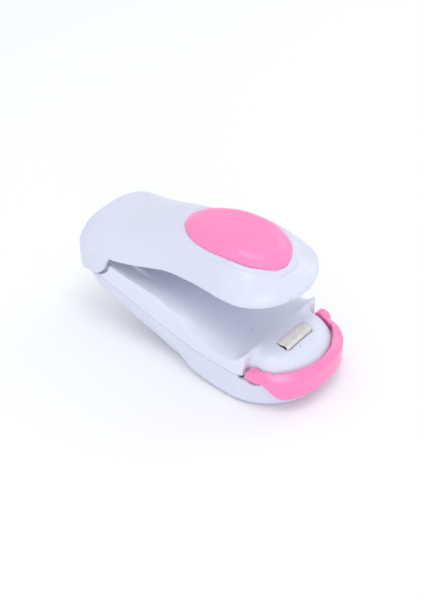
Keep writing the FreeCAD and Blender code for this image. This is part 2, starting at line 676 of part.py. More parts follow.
def make_thumb_pad():
    first, last = PAD_REAR - 5, PAD_TIP + 5
    pad = pad_plan.prism().common(
        field(lambda x, y: lever_top(x, y) - size("pad_seat") + 0.05, first, last, HIGH))

    def crown(x, y):
        return lever_top(x, y) + size("pad_rise") * (1 - 0.9 * swell(pad_plan.gauge(x, y), 8))

    pad = pad.common(field(crown, first, last, -HIGH))
    return pad.fuse([pad_leg(x, y, 0.0) for x, y in PAD_LEGS])


# ---------------------------------------------------------------- bail body

def bail_top(x, y):
    slope = max(0.0, (min(bail_plan.gauge(x, y), 1.25) - 0.8) / 0.2)
    return size("bail_top") + 0.2 - size("bail_bevel") * slope ** 1.5


def make_bail():
    foot = size("arm_foot")
    low = size("bail_bottom")
    bend = [V(BAIL_AXIS.x + 2.6, 0, foot), V(BAIL_AXIS.x + 5.0, 0, foot - 1.6),
            V(BAIL_AXIS.x + 8.5, 0, low + 0.3), V(BAIL_AXIS.x + 12.0, 0, low)]
    edges = [spline(bend)]
    edges += polyline([bend[-1], V(FRONT + 4, 0, low), V(FRONT + 4, 0, 30), V(BAIL_AXIS.x, 0, 30),
                       V(BAIL_AXIS.x, 0, foot), bend[0]])
    band = bail_plan.prism().common(profile_prism(edges))
    band = band.common(field(bail_top, 10.0, FRONT + 4, -HIGH))
    gap = size("bail_gap")
    ahead = box(BAIL_AXIS.x + 5, HIGH, -WIDE, WIDE, -1, HIGH)
    band = carve(band, [base_plan.prism(-gap, -1, foot), nose_plan.prism(-gap, -1, HIGH),
                        base_plan.prism(-gap, -1, HIGH).common(ahead)])
    side = size("nose_pad_width") / 2 + gap
    outer = BASE_HALF + 0.1
    seat = side + size("heel_depth")
    heels = both_sides(rod(size("heel_radius"), side, seat, BAIL_AXIS.x, BAIL_AXIS.z))
    above = box(REAR, FRONT, -WIDE, WIDE, foot, HIGH)
    heels += both_sides(rod(size("heel_radius"), seat - 0.2, outer, BAIL_AXIS.x, BAIL_AXIS.z).common(above))
    pegs = both_sides(rod(size("bail_peg_radius"), side - size("bail_peg_length"), side + 0.5,
                          BAIL_AXIS.x, BAIL_AXIS.z))
    return band.fuse(heels + pegs)


# ---------------------------------------------------------------- parametric pieces

def plane_of(body, role):
    return [item for item in body.Origin.OriginFeatures if item.Role == role][0]


def new_sketch(body, name):
    sketch = body.newObject("Sketcher::SketchObject", name)
    sketch.AttachmentSupport = [(plane_of(body, "XY_Plane"), "")]
    sketch.MapMode = "FlatFace"
    return sketch


def draw_rectangle(sketch, wide, deep):
    """Rectangle about the sketch's origin; wide and deep are expressions."""
    corners = [V(-1, -1, 0), V(1, -1, 0), V(1, 1, 0), V(-1, 1, 0)]
    for i in range(4):
        sketch.addGeometry(Part.LineSegment(corners[i], corners[(i + 1) % 4]), False)
    for i in range(4):
        sketch.addConstraint(Sketcher.Constraint("Coincident", i, 2, (i + 1) % 4, 1))
    for i in (0, 2):
        sketch.addConstraint(Sketcher.Constraint("Horizontal", i))
        sketch.addConstraint(Sketcher.Constraint("Vertical", i + 1))
    sketch.addConstraint(Sketcher.Constraint("Symmetric", 0, 1, 1, 2, -1, 1))
    for name, kind, line, expression in (("wide", "DistanceX", 0, wide), ("deep", "DistanceY", 1, deep)):
        index = sketch.addConstraint(Sketcher.Constraint(kind, line, 1, line, 2, 2.0))
        sketch.renameConstraint(index, name)
        sketch.setExpression("Constraints." + name, expression)


def draw_circle(sketch, radius, name, x="0", y="0"):
    """Circle whose centre and radius are expressions."""
    circle = sketch.addGeometry(Part.Circle(V(3, 3, 0), V(0, 0, 1), 1.0), False)
    entries = [("radius", Sketcher.Constraint("Radius", circle, 1.0), radius)]
    if x == "0" and y == "0":
        sketch.addConstraint(Sketcher.Constraint("Coincident", circle, 3, -1, 1))
    else:
        entries.append(("x", Sketcher.Constraint("DistanceX", -1, 1, circle, 3, 3.0), x))
        entries.append(("y", Sketcher.Constraint("DistanceY", -1, 1, circle, 3, 3.0), y))
    for part, constraint, expression in entries:
        index = sketch.addConstraint(constraint)
        sketch.renameConstraint(index, name + "_" + part)
        sketch.setExpression("Constraints." + name + "_" + part, expression)


def pad_body(label, draw, height, placement):
    """A body padded upwards from its base sketch."""
    body = doc.addObject("PartDesign::Body", label)
    body.Label = label
    sketch = new_sketch(body, label + "_outline")
    draw(sketch)
    pad = body.newObject("PartDesign::Pad", label + "_pad")
    pad.Profile = sketch
    pad.Length = 1.0
    pad.setExpression("Length", height)
    body.Placement = placement
    doc.recompute()
    NODES.append(body)
    return body


def dress(body, kind, amount, choose):
    """Fillet or chamfer on the edges that choose accepts."""
    base = body.Tip
    edges = ["Edge%d" % (i + 1) for i, edge in enumerate(base.Shape.Edges) if choose(edge)]
    feature = body.newObject("PartDesign::" + kind, body.Label + "_" + kind.lower())
    feature.Base = (base, edges)
    setattr(feature, "Radius" if kind == "Fillet" else "Size", amount)
    body.Tip = feature
    doc.recompute()
    return feature


def plate(label, wide, deep, height, placement):
    return pad_body(label, lambda sketch: draw_rectangle(sketch, wide, deep), height, placement)


def upright(edge):
    return edge.BoundBox.ZLength > 0.1


def at(x, y, z, turn=None):
    return FreeCAD.Placement(V(x, y, z), turn or FreeCAD.Rotation())


def cylinder(label, radius, height, placement):
    item = doc.addObject("Part::Cylinder", label)
    item.setExpression("Radius", radius)
    item.setExpression("Height", height)
    item.Placement = placement
    return item


def fused(label, pieces, placement=None):
    item = doc.addObject("Part::MultiFuse", label)
    item.Shapes = pieces
    if placement is not None:
        item.Placement = placement
    item.Label = label
    NODES.append(item)
    return item


def group(label, pieces):
    item = doc.addObject("Part::Compound", label)
    item.Links = pieces
    item.Label = label
    NODES.append(item)
    return item


def make_batteries():
    """Two AA cells side by side, the left one with its nub to the front."""
    for label, side, turn in (("battery_left", 1, 90), ("battery_right", -1, -90)):
        can = cylinder(label + "_can", "Sizes.battery_radius", "Sizes.battery_length",
                       at(0, 0, -size("battery_length") / 2))
        nub = cylinder(label + "_nub", "Sizes.nub_radius", "Sizes.nub_length",
                       at(0, 0, size("battery_length") / 2))
        place = at(0, side * size("battery_spread"), 0, FreeCAD.Rotation(Y_AXIS, turn))
        fused(label, [can, nub], CELLS.multiply(place))


def make_contacts():
    end = cell_end() + 0.1
    thick = size("contact_thickness")
    low = -size("contact_height") / 2
    for label, side in (("positive_plate", 1), ("negative_plate", -1)):
        place = at(end + thick / 2, side * size("battery_spread"), low)
        plate(label, "Sizes.contact_thickness", "Sizes.contact_width", "Sizes.contact_height",
              CELLS.multiply(place))
    plate("bridge_contact", "Sizes.contact_thickness",
          "2 * Sizes.battery_spread + Sizes.contact_width - 1", "Sizes.contact_height",
          CELLS.multiply(at(-end - thick / 2, 0, low)))
    gap = size("nub_length") + 0.1
    for label, x, side, turn in (("front_contact_coil", end, -1, -90), ("rear_contact_coil", -end, 1, 90)):
        add(label, contact_coil(gap), CELLS.multiply(
            at(x, side * size("battery_spread"), 0, FreeCAD.Rotation(Y_AXIS, turn))))


def contact_coil(length):
    """Conical contact spring, wide end on its plate at z = 0."""
    radius = size("coil_wire")
    steps = int(8 * size("coil_turns"))
    points = []
    for i in range(steps + 1):
        share = i / steps
        angle = 2 * math.pi * size("coil_turns") * share
        reach = size("coil_foot") + (size("coil_tip") - size("coil_foot")) * share
        points.append(V(reach * math.cos(angle), reach * math.sin(angle),
                        radius + (length - 2 * radius) * share))
    curve = Part.BSplineCurve()
    curve.interpolate(points)
    path = curve.toShape()
    start = path.FirstParameter
    ring = Part.Wire(Part.makeCircle(radius, path.valueAt(start), path.tangentAt(start)))
    return Part.Wire(path).makePipeShell([ring], True, True)


def coil(radius, wire, length, turns):
    """Round wire wound about Z, from z = 0 to z = length."""
    rise = length - 2 * wire
    helix = Part.makeHelix(rise / turns, rise, radius)
    helix.translate(V(0, 0, wire))
    start = helix.Edges[0]
    first = start.valueAt(start.FirstParameter)
    direction = start.tangentAt(start.FirstParameter)
    ring = Part.Wire(Part.makeCircle(wire, first, direction))
    return Part.Wire(helix.Edges).makePipeShell([ring], True, True)


def make_switch():
    front = 25.0
    top = size("leaf_rise")
    half = size("leaf_length") / 2
    for label, reach in (("switch_leaf_lower", front - half), ("switch_leaf_upper", front + 3 - half)):
        plate(label, "Sizes.leaf_length", "Sizes.leaf_width", "Sizes.leaf_thickness",
              CELLS.multiply(at(reach, 0, top)))
        top += size("leaf_thickness") + size("leaf_gap")
    plate("switch_spacer", "Sizes.leaf_width", "Sizes.leaf_width - 0.2", "Sizes.leaf_gap",
          CELLS.multiply(at(23.5, 0, size("leaf_rise") + size("leaf_thickness"))))
    x = size("plunger_at")
    foot = leaf_top_at(x - 2.2) + 0.1
    stem = cylinder("plunger_stem", "Sizes.plunger_radius", str(plunger_top() - foot), at(0, 0, 0))
    collar = cylinder("plunger_collar", "Sizes.plunger_radius + 0.7", "0.5", at(0, 0, 0))
    fused("switch_plunger", [stem, collar], at(x, 0, foot))


def leaf_top_at(x):
    """Top of the upper switch leaf above the table."""
    tilt = math.radians(size("battery_tilt"))
    rise = size("leaf_rise") + 2 * size("leaf_thickness") + size("leaf_gap")
    return size("battery_height") - (x - size("battery_middle")) * math.tan(tilt) + rise / math.cos(tilt)


def make_heater():
    block = plate("heater_block", "Sizes.heater_width", "Sizes.heater_length", "Sizes.heater_depth",
                  at(HEATER, 0, size("heater_top") - size("heater_depth")))
    dress(block, "Fillet", 0.4, upright)
    half = size("heater_length") / 2
    thin = size("ribbon_thickness")
    wide = size("ribbon_width") / 2
    top = size("heater_top")
    outer = box(HEATER - wide, HEATER + wide, -half - thin, half + thin, top - 4.5, top + thin)
    add("heater_ribbon", outer.cut(box(HEATER - 9, HEATER + 9, -half, half, top - 9, top)))
    cloth = size("cloth_thickness")
    side = size("heater_width") / 2
    length = half + thin + 0.15
    outer = box(HEATER - side - cloth, HEATER + side + cloth, -length, length, top - 3.2, top + thin + cloth)
    add("heater_cloth", outer.cut(box(HEATER - side, HEATER + side, -WIDE, WIDE, 0, top + thin)))
    for label, side in (("heater_terminal_left", 1), ("heater_terminal_right", -1)):
        y = side * (half + thin + size("terminal_thickness") / 2)
        plate(label, "Sizes.heater_width - 0.6", "Sizes.terminal_thickness", "3.4",
              at(HEATER, y, top - 6.5))


def make_screws():
    screws = []
    for index, (x, y) in enumerate(SCREWS):
        head = cylinder("screw_%d_head" % index, "Sizes.screw_head", "Sizes.screw_head_height",
                        at(x, y, SCREW_FOOT))
        shank = cylinder("screw_%d_shank" % index, "Sizes.screw_radius - 0.05", "Sizes.screw_reach",
                         at(x, y, size("screw_seat")))
        screw = doc.addObject("Part::Fuse", "screw_%d" % index)
        screw.Base = head
        screw.Tool = shank
        screws.append(screw)
    group("case_screws", screws)
    screws = []
    for index, (x, y) in enumerate(LINER_SCREWS):
        place = OPEN_TURN.multiply(at(x, y, LINER_FOOT - 0.7))
        head = cylinder("liner_screw_%d_head" % index, "Sizes.liner_screw_radius + 0.5", "0.7", place)
        shank = cylinder("liner_screw_%d_shank" % index, "Sizes.liner_screw_radius * 0.75",
                         "3.0", OPEN_TURN.multiply(at(x, y, LINER_FOOT)))
        screw = doc.addObject("Part::Fuse", "liner_screw_%d" % index)
        screw.Base = head
        screw.Tool = shank
        screws.append(screw)
    group("liner_screws", screws)


def make_press():
    place = OPEN_TURN.multiply(at(HEATER, 0, PRESS_FOOT))
    pad = plate("press_pad", "Sizes.press_width", "Sizes.press_length", "Sizes.press_thickness", place)
    dress(pad, "Fillet", 0.5, upright)
    middle = LINER_BACK + size("liner_reach") / 2
    liner = plate("press_carrier", "Sizes.liner_reach", "Sizes.press_length + 1", "Sizes.liner_thickness",
                  OPEN_TURN.multiply(at(middle, 0, LINER_FOOT)))
    sketch = new_sketch(liner, "carrier_holes")
    for index, (x, y) in enumerate(LINER_SCREWS):
        draw_circle(sketch, "Sizes.liner_screw_radius * 0.8", "hole_%d" % index,
                    str(x - middle), str(y))
    pocket = liner.newObject("PartDesign::Pocket", "carrier_pocket")
    pocket.Profile = sketch
    pocket.Type = "ThroughAll"
    pocket.Reversed = True
    doc.recompute()
    dress(liner, "Fillet", 1.5, lambda edge: upright(edge) and len(edge.Vertexes) == 2
          and abs(edge.Vertexes[0].X) > size("liner_reach") / 2 - 0.1)


def make_pin():
    length = 2 * (EAR_INNER + size("pin_bite"))
    place = at(HINGE.x, length / 2, HINGE.z, FreeCAD.Rotation(V(1, 0, 0), 90))
    pin = pad_body("hinge_pin", lambda sketch: draw_circle(sketch, "Sizes.pin_radius", "pin"),
                   str(length), place)
    dress(pin, "Chamfer", 0.3, lambda edge: edge.BoundBox.ZLength < 0.1)


def wire(label, points):
    """Insulated wire along straight runs joined by tangent arcs."""
    edges = []
    last = points[0]
    for before, corner, after in zip(points, points[1:], points[2:]):
        back = (before - corner)
        onward = (after - corner)
        reach = 0.45 * min(back.Length, onward.Length)
        half = back.getAngle(onward) / 2
        a = corner + back.normalize() * reach
        b = corner + onward.normalize() * reach
        radius = reach * math.tan(half)
        bisector = (back + onward).normalize()
        middle = corner + bisector * (radius / math.sin(half) - radius)
        edges.append(Part.LineSegment(last, a).toShape())
        edges.append(Part.Arc(a, middle, b).toShape())
        last = b
        print(label, "bend radius", round(radius, 2))
    edges.append(Part.LineSegment(last, points[-1]).toShape())
    path = Part.Wire(edges)
    ring = Part.Wire(Part.makeCircle(size("wire_radius"), points[0], points[1] - points[0]))
    tube = path.makePipeShell([ring], True, True)
    length = sum(edge.Length for edge in edges)
    print(label, "fill", round(tube.Volume / (math.pi * size("wire_radius") ** 2 * length), 3))
    add(label, tube)


def make_wires():
    side = size("battery_spread")
    face = CELLS.multVec(V(cell_end() + 0.1 + size("contact_thickness"), 0, 4.2))
    reach = size("heater_length") / 2 + size("ribbon_thickness") + size("terminal_thickness")
    beside = reach + size("wire_radius") + 0.03
    low = size("heater_top") - 5.0
    radius = size("wire_radius")
    wire("wire_battery_heater", [
        V(face.x + 0.1, side, face.z), V(face.x + 3.2, side, face.z), V(HEATER - 5.0, beside, low),
        V(HEATER + 1.2, beside, low)])
    leaf = CELLS.multVec(V(28.0, 0, size("leaf_rise") + size("leaf_gap") + 1.5 * size("leaf_thickness")))
    wire("wire_switch_heater", [
        V(leaf.x + 0.1, 0, leaf.z), V(leaf.x + 2.6, 0, leaf.z - 0.3), V(HEATER - 5.0, -beside + 1.2, low + 0.4),
        V(HEATER - 2.0, -beside, low), V(HEATER + 1.2, -beside, low)])
    leaf = CELLS.multVec(V(25.0, 0, size("leaf_rise") + size("leaf_thickness") / 2))
    wire("wire_battery_switch", [
        V(face.x + 0.1 + radius, -side + 2.5, face.z - 0.6), V(face.x + 0.4 + radius, -2.4, face.z - 0.4),
        V(leaf.x + radius + 0.1, 0.8, leaf.z - 0.2)])


def write_parts():
    doc.recompute()
    os.makedirs("parts", exist_ok=True)
    for item in doc.Objects:
        if "Invalid" in item.State or "Error" in item.State:
            raise ValueError(item.Label + " did not build")
    for item in NODES:
        if item.Shape.isNull() or not item.Shape.isValid():
            raise ValueError(item.Label + " has no valid shape")
        item.Shape.exportStep("parts/" + item.Label + ".step")
        print(item.Label, len(item.Shape.Solids), round(item.Shape.Volume, 1))


outer_form = base_space(0.0)
inner_form = base_space(WALL)
base_shell = outer_form.cut(inner_form)
add("base_tub", make_tub(base_shell, inner_form))
add("base_deck", make_deck(base_shell, inner_form))
add("battery_cover", make_cover())
add("lever_shell", make_lever())
add("thumb_pad", make_thumb_pad())
add("lock_bail", make_bail())
spring_length = size("spring_seat") - size("spring_cup") - 0.1
add("return_spring", coil(size("spring_radius"), size("spring_wire"), spring_length, size("spring_turns")),
    at(size("spring_at"), 0, size("spring_cup") + 0.05))
make_batteries()
make_contacts()
make_switch()
make_heater()
make_screws()
make_press()
make_pin()
make_wires()
write_parts()
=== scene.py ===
"""Handheld bag sealer: white moulded shells, pink thumb pad and latch, glass cloth over the heater."""
import json
import math
import random

import bpy
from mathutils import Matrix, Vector


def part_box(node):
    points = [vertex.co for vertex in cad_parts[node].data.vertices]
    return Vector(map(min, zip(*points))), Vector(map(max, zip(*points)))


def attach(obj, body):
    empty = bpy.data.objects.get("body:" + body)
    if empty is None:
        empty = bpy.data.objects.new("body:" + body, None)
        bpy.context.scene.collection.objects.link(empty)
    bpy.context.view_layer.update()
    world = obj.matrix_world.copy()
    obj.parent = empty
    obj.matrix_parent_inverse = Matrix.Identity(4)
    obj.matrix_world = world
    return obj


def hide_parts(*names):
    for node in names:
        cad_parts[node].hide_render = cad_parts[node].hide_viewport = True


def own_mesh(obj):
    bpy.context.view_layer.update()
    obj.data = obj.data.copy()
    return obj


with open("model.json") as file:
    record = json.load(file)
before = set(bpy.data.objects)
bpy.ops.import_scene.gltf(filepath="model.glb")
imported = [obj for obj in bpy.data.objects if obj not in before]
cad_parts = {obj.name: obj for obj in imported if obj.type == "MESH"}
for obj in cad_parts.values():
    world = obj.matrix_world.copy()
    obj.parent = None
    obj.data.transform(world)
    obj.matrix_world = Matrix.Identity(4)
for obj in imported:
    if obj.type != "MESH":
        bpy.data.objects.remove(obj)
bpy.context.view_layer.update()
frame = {"nodes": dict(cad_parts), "record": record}
MM = 0.001
BODY = {node: body for body, nodes in frame["record"]["behaviour"]["bodies"].items() for node in nodes}
MERGE_DISTANCE = 0.002 * MM


# ---------------------------------------------------------------- camera, floor and light

VIEW_CENTRE = Vector((3.81, 0.0, 20.6)) * MM
VIEW_TURN, VIEW_RISE, VIEW_DISTANCE = math.radians(37.86), math.radians(37.53), 0.4612


SENSOR_WIDTH, LENS, SHIFT = 36.0, 83.6, (-0.0125, -0.0123)
FLOOR_SIZE, FLOOR_HEIGHT = 6.0, -0.0002


def place_camera():
    data = bpy.data.cameras.new("camera")
    data.sensor_width, data.lens = SENSOR_WIDTH, LENS
    data.shift_x, data.shift_y = SHIFT
    data.clip_start, data.clip_end = 0.01, 10.0
    camera = bpy.data.objects.new("camera", data)
    bpy.context.scene.collection.objects.link(camera)
    back = Vector((math.sin(VIEW_TURN) * math.cos(VIEW_RISE), -math.cos(VIEW_TURN) * math.cos(VIEW_RISE),
                   math.sin(VIEW_RISE)))
    camera.location = VIEW_CENTRE + back * VIEW_DISTANCE
    camera.rotation_euler = (-back).to_track_quat("-Z", "Y").to_euler()
    bpy.context.scene.camera = camera


WORLD_TINT, WORLD_STRENGTH = (0.93, 0.95, 1.0, 1.0), 0.92
# place, what it points at, size, power and colour
LIGHTS = {
    "key": ((0.10, -0.08, 0.58), (0.0, 0.0, 0.02), 0.30, 0.60, (1.0, 1.0, 0.985)),
    "fill": ((0.34, -0.42, 0.10), (0.01, 0.0, 0.02), 0.30, 0.55, (1.0, 0.99, 1.0)),
    "rear": ((0.10, 0.55, 0.40), (0.0, 0.0, 0.02), 0.40, 0.45, (1.0, 1.0, 1.0)),
}


def add_light(name, place, aim, size, power, colour):
    data = bpy.data.lights.new(name, "AREA")
    data.shape, data.size, data.energy, data.color = "DISK", size, power, colour
    light = bpy.data.objects.new(name, data)
    bpy.context.scene.collection.objects.link(light)
    light.location = Vector(place)
    light.rotation_euler = (Vector(aim) - Vector(place)).to_track_quat("-Z", "Y").to_euler()


def set_studio():
    scene = bpy.context.scene
    scene.view_settings.view_transform = "Standard"
    world = bpy.data.worlds.new("studio")
    world.use_nodes = True
    sky = world.node_tree.nodes["Background"].inputs
    sky["Color"].default_value, sky["Strength"].default_value = WORLD_TINT, WORLD_STRENGTH
    scene.world = world
    for name, values in LIGHTS.items():
        add_light(name, *values)
    bpy.ops.mesh.primitive_plane_add(size=FLOOR_SIZE, location=(0, 0, FLOOR_HEIGHT))
    floor = bpy.context.active_object
    floor.name = "floor"
    paint(floor, FINISH["floor_card"])


# ---------------------------------------------------------------- finishes

class Nodes:
    """A short hand for laying out the nodes of one material or group."""

    def __init__(self, tree):
        self.tree = tree

    def add(self, kind, inputs=None, **settings):
        made = self.tree.nodes.new(kind)
        for key, value in settings.items():
            setattr(made, key, value)
        for key, value in (inputs or {}).items():
            if isinstance(value, bpy.types.NodeSocket):
                self.tree.links.new(value, made.inputs[key])
            else:
                made.inputs[key].default_value = value
        return made

    def math(self, operation, first, second=0.0):
        return self.add("ShaderNodeMath", {0: first, 1: second}, operation=operation).outputs[0]

    def spread(self, value, low, high, to_low, to_high):
        return self.add("ShaderNodeMapRange", {"Value": value, "From Min": low, "From Max": high,
                                               "To Min": to_low, "To Max": to_high}).outputs["Result"]

    def blend(self, factor, first, second):
        return self.add("ShaderNodeMix", {0: factor, 6: first, 7: second}, data_type="RGBA").outputs[2]

    def noise(self, place, scale, detail=3.0, rough=0.5):
        return self.add("ShaderNodeTexNoise", {"Vector": place, "Scale": scale, "Detail": detail,
                                               "Roughness": rough}).outputs["Fac"]


def new_group(name, inputs, outputs):
    group = bpy.data.node_groups.new(name, "ShaderNodeTree")
    for label, kind, value in inputs:
        socket = group.interface.new_socket(label, in_out="INPUT", socket_type=kind)
        socket.default_value = value
    for label, kind in outputs:
        group.interface.new_socket(label, in_out="OUTPUT", socket_type=kind)
    n = Nodes(group)
    return group, n, n.add("NodeGroupInput").outputs, n.add("NodeGroupOutput").inputs


def connect(n, source, target):
    n.tree.links.new(source, target)


def moulded_surface_group():
    """Colour drift, fine grain and rubbed patches of a moulded or plated surface."""
    group, n, given, out = new_group(
        "moulded_surface",
        [("Colour", "NodeSocketColor", (1, 1, 1, 1)), ("Drift Colour", "NodeSocketColor", (1, 1, 1, 1)),
         ("Drift Scale", "NodeSocketFloat", 60.0), ("Grain Scale", "NodeSocketFloat", 2500.0),
         ("Roughness Low", "NodeSocketFloat", 0.3), ("Roughness High", "NodeSocketFloat", 0.4)],
        [("Colour", "NodeSocketColor"), ("Roughness", "NodeSocketFloat"), ("Height", "NodeSocketFloat")])
    place = n.add("ShaderNodeTexCoord").outputs["Object"]
    drift = n.spread(n.noise(place, given["Drift Scale"], 4.0, 0.55), 0.35, 0.7, 0.0, 1.0)
    grain = n.noise(place, given["Grain Scale"], 2.0, 0.6)
    handled = n.noise(place, 140.0, 5.0, 0.65)
    rough = n.math("ADD", n.math("MULTIPLY", handled, 0.7), n.math("MULTIPLY", grain, 0.3))
    share = n.spread(rough, 0.35, 0.65, 0.0, 1.0)
    span = n.math("SUBTRACT", given["Roughness High"], given["Roughness Low"])
    connect(n, n.blend(drift, given["Colour"], given["Drift Colour"]), out["Colour"])
    connect(n, n.math("ADD", given["Roughness Low"], n.math("MULTIPLY", share, span)), out["Roughness"])
    connect(n, grain, out["Height"])
    return group


BARE_SHARE = 0.84    # share of the cells that hold no speck
SPECK_SPACING, SPECK_SIZE = 130.0, 0.030


def specks_group():
    """Sparse dark specks of dust on a pale surface."""
    group, n, given, out = new_group(
        "dust_specks",
        [("Colour", "NodeSocketColor", (1, 1, 1, 1)), ("Speck Colour", "NodeSocketColor", (0.1, 0.1, 0.1, 1)),
         ("Spacing", "NodeSocketFloat", 160.0), ("Size", "NodeSocketFloat", 0.04)],
        [("Colour", "NodeSocketColor")])
    place = n.add("ShaderNodeTexCoord").outputs["Object"]
    cells = n.add("ShaderNodeTexVoronoi", {"Vector": place, "Scale": given["Spacing"], "Randomness": 1.0},
                  voronoi_dimensions="2D")
    near = n.math("LESS_THAN", cells.outputs["Distance"], given["Size"])
    lot = n.add("ShaderNodeSeparateColor", {0: cells.outputs["Color"]}).outputs[0]
    chosen = n.math("GREATER_THAN", lot, BARE_SHARE)
    mask = n.math("MULTIPLY", near, chosen)
    connect(n, n.blend(mask, given["Colour"], given["Speck Colour"]), out["Colour"])
    return group


def drawn_lines_group():
    """Fine parallel lines of rolled or drawn metal, along one axis."""
    group, n, given, out = new_group(
        "drawn_lines",
        [("Stretch", "NodeSocketVector", (60.0, 4000.0, 4000.0)), ("Roughness Low", "NodeSocketFloat", 0.2),
         ("Roughness High", "NodeSocketFloat", 0.4)],
        [("Roughness", "NodeSocketFloat"), ("Height", "NodeSocketFloat")])
    place = n.add("ShaderNodeTexCoord").outputs["Object"]
    drawn = n.add("ShaderNodeVectorMath", {0: place, 1: given["Stretch"]}, operation="MULTIPLY").outputs[0]
    lines = n.noise(drawn, 1.0, 3.0, 0.6)
    span = n.math("SUBTRACT", given["Roughness High"], given["Roughness Low"])
    connect(n, n.math("ADD", given["Roughness Low"], n.math("MULTIPLY", lines, span)), out["Roughness"])
    connect(n, lines, out["Height"])
    return group


WEFT_SHARE = 0.9                              # height of the weft threads beside the warp's
OVER_SHARE, CROSSING_SHARE = 0.6, 0.4         # threads and crossings, in the weave's height


def weave_group():
    """Plain weave: threads that pass over and under each other, read from the cloth's own flat map."""
    group, n, given, out = new_group(
        "plain_weave",
        [("Thread Colour", "NodeSocketColor", (1, 1, 1, 1)),
         ("Gap Colour", "NodeSocketColor", (0.5, 0.5, 0.5, 1)), ("Threads", "NodeSocketFloat", 60.0)],
        [("Colour", "NodeSocketColor"), ("Height", "NodeSocketFloat")])
    flat = n.add("ShaderNodeTexCoord").outputs["UV"]
    axes = n.add("ShaderNodeSeparateXYZ", {0: flat}).outputs
    waves = []
    for axis in (0, 1):
        turn = n.math("MULTIPLY", n.math("MULTIPLY", axes[axis], given["Threads"]), math.pi)
        waves.append(n.math("ABSOLUTE", n.math("SINE", turn)))
    over = n.math("MAXIMUM", waves[0], n.math("MULTIPLY", waves[1], WEFT_SHARE))
    crossings = n.math("MULTIPLY", n.math("MULTIPLY", waves[0], waves[1]), CROSSING_SHARE)
    height = n.math("ADD", n.math("MULTIPLY", over, OVER_SHARE), crossings)
    connect(n, n.blend(height, given["Gap Colour"], given["Thread Colour"]), out["Colour"])
    connect(n, height, out["Height"])
    return group


GROUPS = {}


def finish_nodes(name, shader):
    """A material with one shader; shader holds the plain numbers of its sockets."""
    material = bpy.data.materials.new(name)
    material.use_nodes = True
    n = Nodes(material.node_tree)
    principled = material.node_tree.nodes["Principled BSDF"]
    for key, value in shader.items():
        principled.inputs[key].default_value = value
    return material, n, principled.inputs


def use_group(n, name, inputs):
    return n.add("ShaderNodeGroup", inputs, node_tree=GROUPS[name]).outputs


def bump(n, height, distance, strength=1.0):
    made = n.add("ShaderNodeBump", {"Height": height, "Distance": distance, "Strength": strength})
    return made.outputs["Normal"]


def plastic(name, colour, drift, low, high, shader, grain=1800.0, depth=0.000012, specks=None):
    material, n, shade = finish_nodes(name, shader)
    surface = use_group(n, "moulded_surface",
                        {"Colour": colour, "Drift Colour": drift, "Drift Scale": 45.0,
                         "Grain Scale": grain, "Roughness Low": low, "Roughness High": high})
    tone = surface["Colour"]
    if specks:
        tone = use_group(n, "dust_specks", {"Colour": tone, "Speck Colour": specks, "Spacing": SPECK_SPACING,
                                            "Size": SPECK_SIZE})["Colour"]
    connect(n, tone, shade["Base Color"])
    connect(n, surface["Roughness"], shade["Roughness"])
    connect(n, bump(n, surface["Height"], depth), shade["Normal"])
    return material


def metal(name, colour, drift, stretch, low, high, depth=0.000008):
    material, n, shade = finish_nodes(name, {"Metallic": 1.0})
    surface = use_group(n, "moulded_surface", {"Colour": colour, "Drift Colour": drift, "Drift Scale": 300.0})
    lines = use_group(n, "drawn_lines", {"Stretch": stretch, "Roughness Low": low, "Roughness High": high})
    connect(n, surface["Colour"], shade["Base Color"])
    connect(n, lines["Roughness"], shade["Roughness"])
    connect(n, bump(n, lines["Height"], depth), shade["Normal"])
    return material


def woven_glass():
    material, n, shade = finish_nodes("glass_cloth", {"Sheen Weight": 0.25, "Sheen Roughness": 0.5})
    weave = use_group(n, "plain_weave", {"Thread Colour": (0.90, 0.87, 0.84, 1),
                                         "Gap Colour": (0.60, 0.55, 0.52, 1), "Threads": 26.0})
    place = n.add("ShaderNodeTexCoord").outputs["Object"]
    scorch = n.spread(n.noise(place, 420.0, 4.0, 0.6), 0.5, 0.78, 0.0, 0.5)
    connect(n, n.blend(scorch, weave["Colour"], (0.50, 0.42, 0.35, 1)), shade["Base Color"])
    connect(n, n.spread(n.noise(place, 900.0), 0.3, 0.7, 0.62, 0.85), shade["Roughness"])
    connect(n, bump(n, weave["Height"], 0.00006), shade["Normal"])
    return material


CELL_TILT = math.radians(5.0)
SLEEVE_END, BAND_START = 23.8 * MM, 12.5 * MM    # from the cell's middle


def cell_wrap(name, axis_turn, centre):
    """Bare metal ends, a dark sleeve and a pale band round the cell."""
    material, n, shade = finish_nodes(name, {})
    place = n.add("ShaderNodeTexCoord").outputs["Object"]
    along = n.add("ShaderNodeMapping", {"Vector": place, "Location": centre,
                                        "Rotation": (0.0, axis_turn, 0.0)}, vector_type="TEXTURE")
    reach = n.add("ShaderNodeSeparateXYZ", {0: along.outputs[0]}).outputs[0]
    sleeve = n.math("LESS_THAN", n.math("ABSOLUTE", reach), SLEEVE_END)
    band = n.math("GREATER_THAN", reach, BAND_START)
    printed = n.blend(band, (0.030, 0.032, 0.036, 1), (0.60, 0.44, 0.16, 1))
    surface = use_group(n, "moulded_surface",
                        {"Colour": (0.62, 0.62, 0.60, 1), "Drift Colour": (0.52, 0.52, 0.50, 1),
                         "Drift Scale": 250.0, "Roughness Low": 0.22,
                         "Roughness High": 0.34, "Grain Scale": 3000.0})
    connect(n, n.blend(sleeve, surface["Colour"], printed), shade["Base Color"])
    connect(n, n.math("SUBTRACT", 1.0, n.math("MULTIPLY", sleeve, 0.75)), shade["Metallic"])
    connect(n, surface["Roughness"], shade["Roughness"])
    connect(n, bump(n, surface["Height"], 0.000006), shade["Normal"])
    return material


